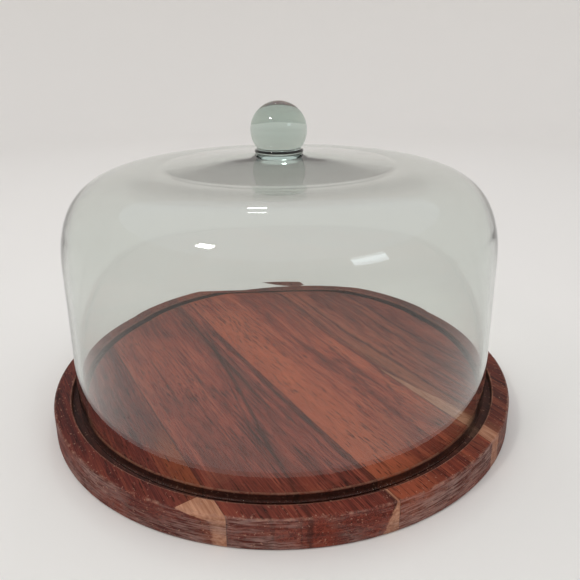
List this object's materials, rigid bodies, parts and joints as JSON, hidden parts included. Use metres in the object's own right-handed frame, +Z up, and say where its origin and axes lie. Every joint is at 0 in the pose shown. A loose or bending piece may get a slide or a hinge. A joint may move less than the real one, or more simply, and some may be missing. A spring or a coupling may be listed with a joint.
{
  "type": "cheese dome",
  "caption": "Round hardwood serving board with a turned groove, and a clear glass dome with a solid ball knob that stands in the groove and lifts off.",
  "frame": {"origin": "centre of the board's underside, on the dome's axis", "axes": "+Z up along the axis of the board, dome and knob; the board's staves and their grain run along Y"},
  "size_m": [0.32, 0.32, 0.2094],
  "materials": {
    "outer_stave_left": "oiled acacia, deep red-brown",
    "wide_stave_left": "oiled acacia, dark red-brown with darker veins",
    "wide_stave_right": "oiled acacia, orange-brown",
    "narrow_stave": "oiled acacia, red-brown with a pale sapwood edge",
    "outer_stave_right": "oiled acacia, dark red-brown",
    "clear_glass": "clear blown glass with a faint grey-green tint"
  },
  "bodies": {
    "board": {"outer_stave_left": "outer_stave_left", "wide_stave_left": "wide_stave_left", "wide_stave_right": "wide_stave_right", "narrow_stave": "narrow_stave", "outer_stave_right": "outer_stave_right"},
    "dome": {"dome_shell": "clear_glass", "dome_knob": "clear_glass"}
  },
  "joints": [
    {"name": "dome_lift", "type": "slide", "parent": "board", "child": "dome", "axis": [0, 0, 1], "range_m": [0, 0.3]}
  ]
}
